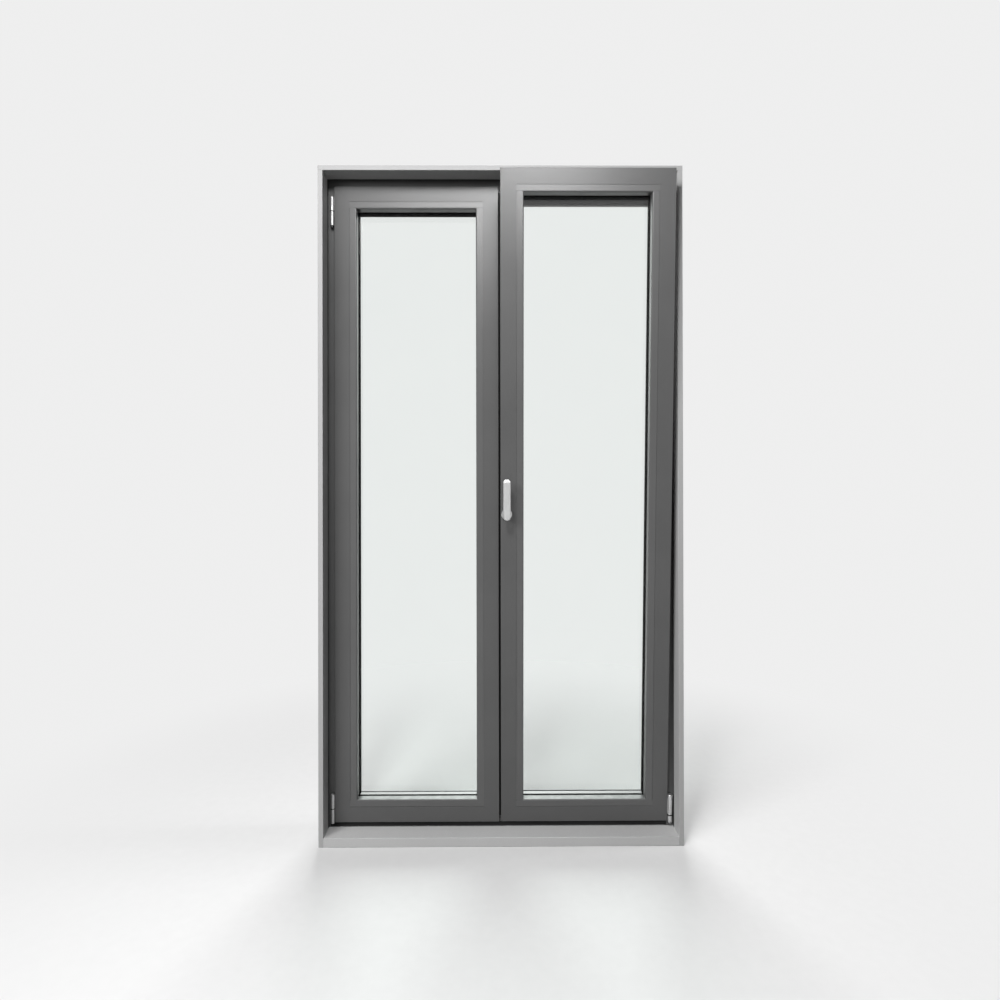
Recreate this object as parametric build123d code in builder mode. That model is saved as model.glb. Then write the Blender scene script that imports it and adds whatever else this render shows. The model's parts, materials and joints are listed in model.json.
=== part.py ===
"""Two-leaf aluminium window with thermal breaks: left leaf shut, right leaf tipped in, in a lined reveal.

Units are millimetres. X runs to the right as seen from the room, +Y points outdoors, +Z is up. The origin
is on the underside of the base profile, in the middle of the frame's width and depth.
"""

import os

from build123d import *

# Outer frame
frame_width = 1200.0
frame_height = 2226.0
frame_depth = 75.0
frame_leaf = 46.0
frame_inner_shell = 25.0
frame_outer_shell = 30.0
frame_stop_leg = 22.0
frame_stop_thickness = 8.0
stop_tip_radius = 1.2
base_height = 12.0
base_inset = 6.0
wall = 2.0

# Insulating cores between the inner and outer shells
core_setback = 3.0
core_wall = 2.0
core_end_gap = 0.3

# Leaves
sash_inset = 38.0
sash_gap = 6.0
meeting_line = -4.0
sash_face = 52.0
sash_depth = 72.0
sash_inner_shell = 30.0
sash_outer_shell = 24.0
flange_thickness = 6.0
flange_overlap = 8.0
flange_gap = 4.0
rebate_air = 12.0
flange_radius = 1.5
lip_face = 19.0
lip_thickness = 9.0
lip_edge_cut = 1.5

# Hardware groove in the leaves' edges
groove_mouth = 14.0
groove_width = 18.0
groove_lip = 2.0
groove_depth = 5.0
groove_start = 10.0

# Glazing
bead_face = 23.5
bead_radius = 4.0
joint_width = 1.0
joint_depth = 1.3
bead_wall = 1.6
bead_end_gap = 0.3
pane_thickness = 6.0
pane_gap = 16.0
pane_edge_cover = 15.0
spacer_height = 7.0
spacer_show = 1.5
spacer_wall = 0.8
gasket_thickness = 4.0
gasket_height = 7.0
gasket_setback = 0.6

# Soft seals of frame and leaves
seal_groove = 4.0
seal_groove_depth = 3.0
overlap_seal_shift = 1.0
overlap_seal_height = 2.6
overlap_seal_width = 6.0
overlap_seal_cut = 1.2
stop_seal_clearance = 0.5
stop_seal_width = 7.0
stop_seal_cut = 1.5
centre_fin_thickness = 4.0
centre_fin_clearance = 0.6
centre_fin_flare = 2.0
centre_fin_nose = 1.0
centre_fin_slope = 3.0

# Meeting mullion on the left leaf
mullion_cover = 68.0
mullion_end_clearance = 3.0
mullion_cap = 2.4
mullion_cap_inset = 0.5

# Tilt of the right leaf
tilt_angle = 3.3
pivot_drop = 8.0
pivot_height = 20.0

# Hinges
hinge_radius = 6.5
hinge_offset = 7.5
hinge_length = 96.0
hinge_seam = 1.2
hinge_foot_width = 9.0
foot_margin = 3.0
hinge_top_drop = 37.0
hinge_foot_drop = 2.0
hinge_pin_length = 7.0
bearing_radius = 7.5
bearing_offset = 8.8
bearing_foot_drop = 7.0
barrel_length = 70.0
bearing_seam = 0.9
bearing_end_cut = 3.5
collar_height = 9.0
collar_step = 0.8

# Stay
stay_length = 380.0
stay_width = 14.0
stay_thickness = 4.0
stay_eye_radius = 8.0
stay_pin_radius = 4.0
stay_lift = 4.0
stay_bearing_length = 46.0
slide_length = 44.0
slide_width = 13.4

# Lock rod and keeps
rod_width = 16.0
rod_thickness = 2.5
rod_end = 150.0
lock_end = 320.0
lock_count = 3
cam_radius = 5.0
cam_height = 9.0
keep_width = 18.0
keep_length = 60.0
keep_thickness = 3.0
keep_corner = 3.0
keep_rib = 4.0

# Handle
handle_height = 1042.5
handle_edge = 20.0
rose_radius = 17.5
rose_thickness = 11.0
rose_edge = 1.6
lever_width = 24.0
lever_length = 133.0
lever_below = 18.0
lever_thickness = 12.0
lever_stand_off = 36.0
lever_edge = 2.4
lever_tip_flat = 0.2
lever_end_radius = 11.0
lever_nose_length = 11.0
lever_nose_cut = 4.2
neck_radius = 10.5
neck_taper = 4.0

# Reveal lining
reveal_depth = 70.0
lining_thickness = 16.0
sill_thickness = 30.0
shadow_gap = 13.0
shadow_depth = 11.0
lining_edge = 0.8

# Drain slots and fixing holes
drain_length = 30.0
drain_width = 6.0
drain_pitch = 480.0
drain_count = 3
fixing_radius = 4.0
fixing_pitch = 610.0
fixing_count = 4

# Levels and lines that follow from the sizes above
frame_face = -frame_depth / 2
frame_bottom = base_height
frame_top = base_height + frame_height
core_length = frame_depth - frame_inner_shell - frame_outer_shell
body_edge = flange_overlap + rebate_air
sash_proud = flange_gap + flange_thickness
sash_face_y = frame_face - sash_proud
sash_span = frame_width - 2 * sash_inset
left_sash_width = (sash_span - sash_gap) / 2 + meeting_line
right_sash_width = (sash_span - sash_gap) / 2 - meeting_line
sash_height = frame_height - 2 * sash_inset
sash_bottom = frame_bottom + sash_inset
daylight_edge = sash_face + bead_face
lip_edge = sash_face + lip_face
lip_start = sash_depth - lip_thickness
pane_edge = daylight_edge - pane_edge_cover
outer_gasket_start = lip_start - gasket_thickness
outer_pane_start = outer_gasket_start - pane_thickness
pane_start = outer_pane_start - pane_gap - pane_thickness
bead_depth = pane_start - gasket_thickness
sash_outer_start = sash_depth - sash_outer_shell
pivot_y = frame_face - pivot_drop
pivot_z = sash_bottom + pivot_height
lining_front = frame_face - reveal_depth
niche_half = frame_width / 2 - lining_thickness

# The frame's plane looks at it from the room: x to the right, y up and z into the room
frame_plane = Plane(
    origin=(-frame_width / 2, frame_face, frame_bottom), x_dir=(1, 0, 0), z_dir=(0, -1, 0)
)
left_plane = Plane(
    origin=(-frame_width / 2 + sash_inset, sash_face_y, sash_bottom),
    x_dir=(1, 0, 0),
    z_dir=(0, -1, 0),
)
shut_corner = Vector(meeting_line + sash_gap / 2, sash_face_y, sash_bottom)
tilt_axis = Axis((0, pivot_y, pivot_z), (1, 0, 0))
right_plane = Plane(
    origin=Vertex(*shut_corner).rotate(tilt_axis, tilt_angle).center(),
    x_dir=(1, 0, 0),
    z_dir=Vector(0, -1, 0).rotate(Axis.X, tilt_angle),
)


def side_lines(plane, width, height, inset):
    """Start point, inward direction, run direction and length of the four sides of a rectangle."""
    right = plane.x_dir
    up = plane.y_dir
    corner = plane.origin + right * inset + up * inset
    across = width - 2 * inset
    tall = height - 2 * inset
    return {
        "left": (corner, right, up, tall),
        "top": (corner + up * tall, up * -1, right, across),
        "right": (corner + up * tall + right * across, right * -1, up * -1, tall),
        "bottom": (corner + right * across, up, right * -1, across),
    }


def mitred_bar(section, line, end_gap=0.0):
    """A section drawn as inward distance and depth, carried along a side and mitred at both ends."""
    start, inward, run, length = line
    far = start + run * length
    with BuildPart() as bar:
        with BuildSketch(Plane(origin=start, x_dir=inward, z_dir=run)):
            add(section)
        extrude(amount=length)
        split(
            bisect_by=Plane(origin=start + run * end_gap, z_dir=run - inward), keep=Keep.TOP
        )
        split(
            bisect_by=Plane(origin=far - run * end_gap, z_dir=run * -1 - inward), keep=Keep.TOP
        )
    return bar.part


def square_bar(section, line, start_gap, far_gap):
    """A section carried along a side and cut square, short of both ends."""
    start, inward, run, length = line
    with BuildPart() as bar:
        with BuildSketch(Plane(origin=start + run * start_gap, x_dir=inward, z_dir=run)):
            add(section)
        extrude(amount=length - start_gap - far_gap)
    return bar.part


def ring(section, lines):
    """One endless ring: the four mitred bars of a section joined."""
    with BuildPart() as loop:
        for line in lines.values():
            add(mitred_bar(section, line))
    return loop.part


def keep_part(part, name):
    """Label a finished piece and write its file."""
    part.label = name
    export_step(part, f"parts/{name}.step")


def box_section(sketch_left, sketch_low, width, depth, mode=Mode.ADD):
    """A rectangle of a section, given by its lower corner."""
    with Locations((sketch_left, sketch_low)):
        Rectangle(width, depth, align=(Align.MIN, Align.MIN), mode=mode)


os.makedirs("parts", exist_ok=True)

# Sections of the frame: inward distance from the outer edge, depth from the room side
with BuildSketch() as frame_section:
    box_section(0, 0, frame_leaf, frame_inner_shell)
    box_section(
        wall, wall, frame_leaf - 2 * wall, frame_inner_shell - 2 * wall, mode=Mode.SUBTRACT
    )
    outer_start = frame_depth - frame_outer_shell
    box_section(0, outer_start, frame_leaf, frame_outer_shell)
    box_section(
        wall,
        outer_start + wall,
        frame_leaf - 2 * wall,
        frame_outer_shell - 2 * wall,
        mode=Mode.SUBTRACT,
    )
    stop_start = frame_depth - frame_stop_thickness
    box_section(frame_leaf, stop_start, frame_stop_leg, frame_stop_thickness)
    stop_tip = frame_leaf + frame_stop_leg
    stop_groove = stop_tip - 2 * wall - seal_groove
    box_section(
        stop_groove, stop_start, seal_groove, seal_groove_depth, mode=Mode.SUBTRACT
    )
    fillet(frame_section.vertices().group_by(Axis.X)[-1], radius=stop_tip_radius)

with BuildSketch() as frame_core_section:
    box_section(
        core_setback, frame_inner_shell, frame_leaf - 2 * core_setback, core_length
    )
    box_section(
        core_setback + core_wall,
        frame_inner_shell + core_wall,
        frame_leaf - 2 * core_setback - 2 * core_wall,
        core_length - 2 * core_wall,
        mode=Mode.SUBTRACT,
    )

with BuildSketch() as stop_seal_section:
    box_section(stop_groove, stop_start, seal_groove, seal_groove_depth)
    lip_reach = stop_start - (sash_depth - sash_proud) - stop_seal_clearance
    box_section(
        stop_groove + (seal_groove - stop_seal_width) / 2,
        stop_start - lip_reach,
        stop_seal_width,
        lip_reach,
    )
    near_sash = stop_seal_section.vertices().group_by(Axis.Y)[0]
    chamfer(near_sash, length=stop_seal_cut)

with BuildSketch() as centre_fin_section:
    fin_start = frame_leaf - core_setback
    fin_end = sash_inset + body_edge - centre_fin_clearance
    fin_low = frame_inner_shell + (core_length - centre_fin_thickness) / 2
    fin_high = fin_low + centre_fin_thickness
    with BuildLine():
        Polyline(
            (fin_start, fin_low - centre_fin_flare),
            (fin_end - centre_fin_slope, fin_low),
            (fin_end, fin_low + centre_fin_nose),
            (fin_end, fin_high - centre_fin_nose),
            (fin_end - centre_fin_slope, fin_high),
            (fin_start, fin_high + centre_fin_flare),
            close=True,
        )
    make_face()

# Sections of a leaf: inward distance from the flange tip, depth from the room side
with BuildSketch() as sash_section:
    box_section(0, 0, body_edge, flange_thickness)
    box_section(body_edge, 0, sash_face - body_edge, sash_inner_shell)
    cavity_start = body_edge + groove_depth + wall
    box_section(
        cavity_start,
        wall,
        sash_face - wall - cavity_start,
        sash_inner_shell - 2 * wall,
        mode=Mode.SUBTRACT,
    )
    box_section(body_edge, groove_start, groove_depth, groove_mouth, mode=Mode.SUBTRACT)
    box_section(
        body_edge + groove_lip,
        groove_start - (groove_width - groove_mouth) / 2,
        groove_depth - groove_lip,
        groove_width,
        mode=Mode.SUBTRACT,
    )
    seal_at = (flange_overlap - seal_groove) / 2 + overlap_seal_shift
    box_section(
        seal_at,
        flange_thickness - seal_groove_depth,
        seal_groove,
        seal_groove_depth,
        mode=Mode.SUBTRACT,
    )
    box_section(body_edge, sash_outer_start, sash_face - body_edge, sash_outer_shell)
    box_section(
        body_edge + wall,
        sash_outer_start + wall,
        sash_face - body_edge - 2 * wall,
        sash_outer_shell - 2 * wall,
        mode=Mode.SUBTRACT,
    )
    box_section(sash_face, lip_start, lip_face, lip_thickness)
    box_section(
        sash_face,
        lip_start + wall,
        lip_face - 3 * wall,
        lip_thickness - 2 * wall,
        mode=Mode.SUBTRACT,
    )
    fillet(sash_section.vertices().group_by(Axis.X)[0], radius=flange_radius)
    chamfer(sash_section.vertices().group_by(Axis.X)[-1], length=lip_edge_cut)

with BuildSketch() as sash_core_section:
    box_section(
        body_edge + core_setback,
        sash_inner_shell,
        sash_face - body_edge - 2 * core_setback,
        sash_outer_start - sash_inner_shell,
    )
    box_section(
        body_edge + core_setback + core_wall,
        sash_inner_shell + core_wall,
        sash_face - body_edge - 2 * core_setback - 2 * core_wall,
        sash_outer_start - sash_inner_shell - 2 * core_wall,
        mode=Mode.SUBTRACT,
    )

with BuildSketch() as overlap_seal_section:
    box_section(
        seal_at, flange_thickness - seal_groove_depth, seal_groove, seal_groove_depth
    )
    box_section(
        seal_at + (seal_groove - overlap_seal_width) / 2,
        flange_thickness,
        overlap_seal_width,
        overlap_seal_height,
    )
    near_frame = overlap_seal_section.vertices().group_by(Axis.Y)[-1]
    chamfer(near_frame, length=overlap_seal_cut)

with BuildSketch() as bead_hollow:
    box_section(
        sash_face + bead_wall,
        bead_wall,
        bead_face - 2 * bead_wall,
        bead_depth - 2 * bead_wall,
    )
    hollow_corner = bead_hollow.vertices().group_by(Axis.X)[-1].sort_by(Axis.Y)[0]
    fillet(hollow_corner, radius=bead_radius - bead_wall)

with BuildSketch() as bead_section:
    box_section(sash_face, 0, bead_face, bead_depth)
    sight_corner = bead_section.vertices().group_by(Axis.X)[-1].sort_by(Axis.Y)[0]
    fillet(sight_corner, radius=bead_radius)
    box_section(sash_face, 0, joint_width, joint_depth, mode=Mode.SUBTRACT)
    add(bead_hollow.sketch, mode=Mode.SUBTRACT)

with BuildSketch() as bead_cope:
    box_section(
        sash_face, -bead_end_gap, bead_face + bead_end_gap, bead_depth + bead_end_gap
    )
    cope_corner = bead_cope.vertices().group_by(Axis.X)[-1].sort_by(Axis.Y)[0]
    fillet(cope_corner, radius=bead_radius + bead_end_gap)

with BuildSketch() as gasket_section:
    inner_gasket = daylight_edge - gasket_setback - gasket_height
    outer_gasket = lip_edge - gasket_setback - gasket_height
    box_section(inner_gasket, bead_depth, gasket_height, gasket_thickness)
    box_section(outer_gasket, outer_gasket_start, gasket_height, gasket_thickness)

with BuildSketch() as spacer_section:
    spacer_top = daylight_edge + spacer_show
    spacer_start = pane_start + pane_thickness
    box_section(spacer_top - spacer_height, spacer_start, spacer_height, pane_gap)
    box_section(
        spacer_top - spacer_height + spacer_wall,
        spacer_start + spacer_wall,
        spacer_height - 2 * spacer_wall,
        pane_gap - 2 * spacer_wall,
        mode=Mode.SUBTRACT,
    )

# Outer frame
frame_lines = side_lines(frame_plane, frame_width, frame_height, 0)
fixing_low = frame_bottom + (frame_height - (fixing_count - 1) * fixing_pitch) / 2
fixing_levels = [fixing_low + step * fixing_pitch for step in range(fixing_count)]
fixing_depth = frame_face + frame_inner_shell / 2

with BuildPart() as frame_left_jamb:
    add(mitred_bar(frame_section.sketch, frame_lines["left"]))
    with BuildSketch(Plane.YZ.offset(-frame_width / 2)):
        with Locations([(fixing_depth, level) for level in fixing_levels]):
            Circle(fixing_radius)
    extrude(amount=frame_leaf, mode=Mode.SUBTRACT)
keep_part(frame_left_jamb.part, "frame_left_jamb")

with BuildPart() as frame_right_jamb:
    add(mitred_bar(frame_section.sketch, frame_lines["right"]))
    with BuildSketch(Plane.YZ.offset(frame_width / 2)):
        with Locations([(fixing_depth, level) for level in fixing_levels]):
            Circle(fixing_radius)
    extrude(amount=-frame_leaf, mode=Mode.SUBTRACT)
keep_part(frame_right_jamb.part, "frame_right_jamb")

with BuildPart() as frame_head:
    add(mitred_bar(frame_section.sketch, frame_lines["top"]))
keep_part(frame_head.part, "frame_head")

with BuildPart() as frame_sill:
    add(mitred_bar(frame_section.sketch, frame_lines["bottom"]))
    with BuildSketch(Plane.XZ.offset(-frame_depth / 2)):
        with Locations((0, frame_bottom + frame_leaf / 2)):
            with GridLocations(drain_pitch, 0, drain_count, 1):
                SlotOverall(drain_length, drain_width)
    extrude(amount=wall, mode=Mode.SUBTRACT)
keep_part(frame_sill.part, "frame_sill")

with BuildPart() as frame_thermal_breaks:
    for line in frame_lines.values():
        add(mitred_bar(frame_core_section.sketch, line, core_end_gap))
keep_part(frame_thermal_breaks.part, "frame_thermal_breaks")

with BuildPart() as frame_gaskets:
    add(ring(centre_fin_section.sketch, frame_lines))
    add(ring(stop_seal_section.sketch, frame_lines))
keep_part(frame_gaskets.part, "frame_gaskets")

# Base profile under the frame
with BuildPart() as base_profile:
    with BuildSketch(Plane.YZ.offset(-frame_width / 2)):
        box_section(frame_face, 0, frame_depth - base_inset, base_height)
        box_section(
            frame_face + wall,
            wall,
            frame_depth - base_inset - 2 * wall,
            base_height - 2 * wall,
            mode=Mode.SUBTRACT,
        )
    extrude(amount=frame_width)
keep_part(base_profile.part, "base_profile")

# Meeting mullion: fixed to the left leaf's edge, closed on by the right leaf
mullion_left = meeting_line - sash_gap / 2 - body_edge
mullion_right = meeting_line + sash_gap / 2 + flange_overlap
mullion_low = frame_bottom + frame_leaf + mullion_end_clearance
mullion_high = frame_top - frame_leaf - mullion_end_clearance
cover_low = mullion_low + frame_stop_leg
cover_high = mullion_high - frame_stop_leg
cover_start = frame_depth / 2 - frame_stop_thickness
mullion_outer_start = frame_face + frame_depth - frame_outer_shell

with BuildPart() as meeting_mullion:
    with BuildSketch(Plane.XY.offset(mullion_low)):
        box_section(
            mullion_left, frame_face, mullion_right - mullion_left, frame_inner_shell
        )
        box_section(
            mullion_left + wall,
            frame_face + wall,
            mullion_right - mullion_left - 2 * wall,
            frame_inner_shell - 2 * wall,
            mode=Mode.SUBTRACT,
        )
    extrude(amount=mullion_high - mullion_low)
    with BuildSketch(Plane.XY.offset(cover_low)):
        box_section(
            mullion_left,
            mullion_outer_start,
            mullion_right - mullion_left,
            cover_start - mullion_outer_start,
        )
        box_section(
            mullion_left + wall,
            mullion_outer_start + wall,
            mullion_right - mullion_left - 2 * wall,
            cover_start - mullion_outer_start - 2 * wall,
            mode=Mode.SUBTRACT,
        )
        with Locations((meeting_line, cover_start)):
            Rectangle(
                mullion_cover, frame_stop_thickness, align=(Align.CENTER, Align.MIN)
            )
    extrude(amount=cover_high - cover_low)
keep_part(meeting_mullion.part, "meeting_mullion")

with BuildPart() as mullion_end_caps:
    for level in (mullion_low - mullion_cap, mullion_high):
        with BuildSketch(Plane.XY.offset(level)):
            box_section(
                mullion_left + mullion_cap_inset,
                frame_face + mullion_cap_inset,
                mullion_right - mullion_left - 2 * mullion_cap_inset,
                frame_inner_shell - mullion_cap_inset,
            )
        extrude(amount=mullion_cap)
keep_part(mullion_end_caps.part, "mullion_end_caps")

with BuildPart() as mullion_core:
    with BuildSketch(Plane.XY.offset(cover_low)):
        box_section(
            mullion_left + core_setback,
            frame_face + frame_inner_shell,
            mullion_right - mullion_left - 2 * core_setback,
            core_length,
        )
        box_section(
            mullion_left + core_setback + core_wall,
            frame_face + frame_inner_shell + core_wall,
            mullion_right - mullion_left - 2 * core_setback - 2 * core_wall,
            core_length - 2 * core_wall,
            mode=Mode.SUBTRACT,
        )
    extrude(amount=cover_high - cover_low)
with BuildPart() as mullion_seals:
    seal_pitch = mullion_cover - 2 * wall - stop_seal_width
    with BuildSketch(Plane.XY.offset(cover_low)) as mullion_seal_section:
        with Locations(
            (meeting_line - seal_pitch / 2, cover_start),
            (meeting_line + seal_pitch / 2, cover_start),
        ):
            Rectangle(stop_seal_width, lip_reach, align=(Align.CENTER, Align.MAX))
        chamfer(mullion_seal_section.vertices().group_by(Axis.Y)[0], length=stop_seal_cut)
    extrude(amount=cover_high - cover_low)


def build_leaf(name, plane, sash_width, side_names, extra_cores=(), extra_seals=()):
    """All bars, beads, seals and panes of one leaf on its own plane."""
    lines = side_lines(plane, sash_width, sash_height, 0)
    for side, bar_name in side_names.items():
        with BuildPart() as bar:
            add(mitred_bar(sash_section.sketch, lines[side]))
        keep_part(bar.part, f"{name}_{bar_name}")

    with BuildPart() as cores:
        for line in lines.values():
            add(mitred_bar(sash_core_section.sketch, line, core_end_gap))
        for core in extra_cores:
            add(core)
    keep_part(cores.part, f"{name}_thermal_breaks")

    with BuildPart() as seals:
        add(ring(overlap_seal_section.sketch, lines))
        add(ring(gasket_section.sketch, lines))
        for seal in extra_seals:
            add(seal)
    keep_part(seals.part, f"{name}_gaskets")
    keep_part(ring(spacer_section.sketch, lines), f"{name}_spacer_bar")

    for side in ("top", "bottom"):
        bead = square_bar(bead_section.sketch, lines[side], sash_face, sash_face)
        keep_part(bead, f"{name}_{side}_bead")
    for side in ("left", "right"):
        with BuildPart() as bead:
            add(square_bar(bead_section.sketch, lines[side], sash_face, sash_face))
            for level in ("top", "bottom"):
                cope = square_bar(bead_cope.sketch, lines[level], sash_face, sash_face)
                add(cope, mode=Mode.SUBTRACT)
        keep_part(bead.part, f"{name}_{side}_bead")

    pane_width = sash_width - 2 * pane_edge
    pane_height = sash_height - 2 * pane_edge
    for pane_name, depth in (("inner_pane", pane_start), ("outer_pane", outer_pane_start)):
        with BuildPart() as pane:
            with BuildSketch(plane.offset(-depth)):
                box_section(pane_edge, pane_edge, pane_width, pane_height)
            extrude(amount=-pane_thickness)
        keep_part(pane.part, f"{name}_{pane_name}")


build_leaf(
    "left_sash",
    left_plane,
    left_sash_width,
    {
        "left": "hinge_stile",
        "right": "meeting_stile",
        "top": "top_rail",
        "bottom": "bottom_rail",
    },
    extra_cores=[mullion_core.part],
    extra_seals=[mullion_seals.part],
)
build_leaf(
    "right_sash",
    right_plane,
    right_sash_width,
    {
        "left": "meeting_stile",
        "right": "hinge_stile",
        "top": "top_rail",
        "bottom": "bottom_rail",
    },
)

# Hinges of the left leaf: a lower barrel on the frame, an upper barrel on the leaf
sash_top = sash_bottom + sash_height
left_hinge_x = -frame_width / 2 + sash_inset - hinge_offset
flange_edge_x = -frame_width / 2 + sash_inset
hinge_foot = sash_bottom - hinge_foot_drop


def left_hinge(low, high, pin_length):
    """Two barrels one above the other, the lower footed on the frame, the upper on the leaf's flange."""
    middle = (low + high) / 2
    foot_height = middle - low - hinge_seam / 2 - 2 * foot_margin
    with BuildPart() as hinge:
        with BuildSketch(Plane.XY.offset(low)):
            with Locations((left_hinge_x, pivot_y)):
                Circle(hinge_radius)
        extrude(amount=middle - low - hinge_seam / 2)
        with BuildSketch(Plane.XY.offset(low + foot_margin)):
            with Locations((left_hinge_x, pivot_y)):
                Rectangle(
                    hinge_foot_width,
                    frame_face - pivot_y,
                    align=(Align.CENTER, Align.MIN),
                )
        extrude(amount=foot_height)
        if pin_length > 0:
            with BuildSketch(Plane.XY.offset(low - pin_length)):
                with Locations((left_hinge_x, pivot_y)):
                    Circle(hinge_radius - wall)
            extrude(amount=pin_length)
    with BuildPart() as upper:
        with BuildSketch(Plane.XY.offset(middle + hinge_seam / 2)):
            with Locations((left_hinge_x, pivot_y)):
                Circle(hinge_radius)
        extrude(amount=high - middle - hinge_seam / 2)
        with BuildSketch(Plane.XY.offset(middle + hinge_seam / 2 + foot_margin)):
            with Locations((left_hinge_x, sash_face_y + flange_radius)):
                Rectangle(
                    flange_edge_x - left_hinge_x,
                    flange_thickness - 2 * flange_radius,
                    align=(Align.MIN, Align.MIN),
                )
        extrude(amount=foot_height)
    with BuildPart() as pair:
        add(hinge.part)
        add(upper.part)
    return pair.part


top_hinge_high = sash_top - hinge_top_drop
keep_part(
    left_hinge(top_hinge_high - hinge_length, top_hinge_high, hinge_pin_length),
    "left_top_hinge",
)
keep_part(left_hinge(hinge_foot, hinge_foot + hinge_length, 0.0), "left_bottom_hinge")

# Bottom bearing of the right leaf: a ball seat on the frame, a collared barrel on the tipped leaf
bearing_x = frame_width / 2 - sash_inset + bearing_offset
bearing_foot = sash_bottom - bearing_foot_drop
with BuildPart() as bearing_seat:
    seat_height = pivot_z - bearing_seam - bearing_foot
    with BuildSketch(Plane.XY.offset(bearing_foot)):
        with Locations((bearing_x, pivot_y)):
            Circle(bearing_radius)
    extrude(amount=seat_height)
    chamfer(bearing_seat.edges().group_by(Axis.Z)[0], length=bearing_end_cut)
    with BuildSketch(Plane.XY.offset(bearing_foot + bearing_end_cut)):
        with Locations((bearing_x, pivot_y)):
            Rectangle(hinge_foot_width, frame_face - pivot_y, align=(Align.CENTER, Align.MIN))
    extrude(amount=seat_height - bearing_end_cut - wall)

barrel_plane = Plane(
    origin=(bearing_x, pivot_y, pivot_z), x_dir=(1, 0, 0), z_dir=right_plane.y_dir
)
with BuildPart() as bearing_barrel:
    with BuildSketch(barrel_plane.offset(bearing_seam)):
        Circle(bearing_radius)
    extrude(amount=barrel_length - bearing_seam - collar_height)
    with BuildSketch(barrel_plane.offset(barrel_length - collar_height)):
        Circle(bearing_radius + collar_step)
    extrude(amount=collar_height)
    chamfer(bearing_barrel.edges().group_by(Axis.Z)[-1], length=collar_step)
    with BuildSketch(barrel_plane.offset(bearing_seam + foot_margin)):
        with Locations((-bearing_offset, pivot_drop - sash_proud + flange_radius)):
            Rectangle(
                bearing_offset,
                flange_thickness - 2 * flange_radius,
                align=(Align.MIN, Align.MIN),
            )
    extrude(amount=barrel_length - bearing_seam - collar_height - 2 * foot_margin)

with BuildPart() as right_bottom_hinge:
    add(bearing_seat.part)
    add(bearing_barrel.part)
keep_part(right_bottom_hinge.part, "right_bottom_hinge")

# Stay of the right leaf: a bearing on the frame and an arm down to a slide in the top rail's groove
stay_level = sash_top - body_edge + stay_lift
stay_x = frame_width / 2 - sash_inset + hinge_offset
groove_middle = groove_start + groove_mouth / 2
slide_seat = right_plane.from_local_coords(
    Vector(0, sash_height - body_edge - groove_depth, -groove_middle)
)
stay_reach_y = slide_seat.Y - pivot_y
stay_reach_x = (stay_length**2 - stay_reach_y**2) ** 0.5
slide_x = stay_x - stay_reach_x

with BuildPart() as stay_bearing:
    with BuildSketch(Plane.XY.offset(stay_level - hinge_seam - stay_bearing_length)):
        with Locations((stay_x, pivot_y)):
            Circle(hinge_radius)
    extrude(amount=stay_bearing_length)
    with BuildSketch(
        Plane.XY.offset(stay_level - hinge_seam - stay_bearing_length + foot_margin)
    ):
        with Locations((stay_x, pivot_y)):
            Rectangle(hinge_foot_width, frame_face - pivot_y, align=(Align.CENTER, Align.MIN))
    extrude(amount=stay_bearing_length - 2 * foot_margin)
keep_part(stay_bearing.part, "stay_bearing")

slide_plane = Plane(origin=slide_seat, x_dir=(1, 0, 0), z_dir=right_plane.y_dir)
with BuildPart() as stay_arm:
    with BuildSketch(Plane.XY.offset(stay_level)):
        with BuildLine() as arm_line:
            Line((stay_x, pivot_y), (slide_x, slide_seat.Y))
        SlotArc(arm_line.edge(), stay_width)
    extrude(amount=stay_thickness)
    with BuildSketch(Plane.XY.offset(stay_level)):
        with Locations((stay_x, pivot_y)):
            Circle(stay_eye_radius)
    extrude(amount=2 * stay_thickness)
    with BuildSketch(slide_plane):
        with Locations((slide_x, 0)):
            Rectangle(slide_length, slide_width)
    extrude(amount=groove_depth)
    with BuildSketch(Plane.XY.offset(stay_level)):
        with Locations((slide_x, slide_seat.Y)):
            Circle(stay_pin_radius)
    extrude(amount=slide_seat.Z - stay_level + wall)
keep_part(stay_arm.part, "stay_arm")

# Lock rod in the edge of the right leaf, with a cam at each keep on the meeting mullion
groove_floor = body_edge + groove_depth
with BuildSketch() as rod_section:
    box_section(
        groove_floor - rod_thickness,
        groove_middle - rod_width / 2,
        rod_thickness,
        rod_width,
    )
right_lines = side_lines(right_plane, right_sash_width, sash_height, 0)
lock_pitch = (sash_height - 2 * lock_end) / (lock_count - 1)
lock_heights = [lock_end + step * lock_pitch for step in range(lock_count)]
with BuildPart() as lock_rod:
    add(square_bar(rod_section.sketch, right_lines["left"], rod_end, rod_end))
    for height in lock_heights:
        cam_seat = right_plane.from_local_coords(
            Vector(groove_floor - rod_thickness, height, -groove_middle)
        )
        with BuildSketch(Plane(origin=cam_seat, x_dir=right_plane.y_dir, z_dir=(-1, 0, 0))):
            Circle(cam_radius)
        extrude(amount=cam_height)
keep_part(lock_rod.part, "lock_rod")

with BuildPart() as lock_keeps:
    for height in lock_heights:
        keep_plane = Plane.YZ.offset(mullion_right)
        with BuildSketch(keep_plane) as keep_outline:
            with Locations((frame_face + frame_inner_shell / 2, sash_bottom + height)):
                Rectangle(keep_width, keep_length)
            chamfer(keep_outline.vertices(), length=keep_corner)
        extrude(amount=keep_thickness)
        with BuildSketch(keep_plane.offset(keep_thickness)):
            with Locations((frame_face + keep_rib, sash_bottom + height)):
                Rectangle(keep_rib, keep_length - 4 * keep_rib)
        extrude(amount=keep_thickness / 2)
keep_part(lock_keeps.part, "lock_keeps")

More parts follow.
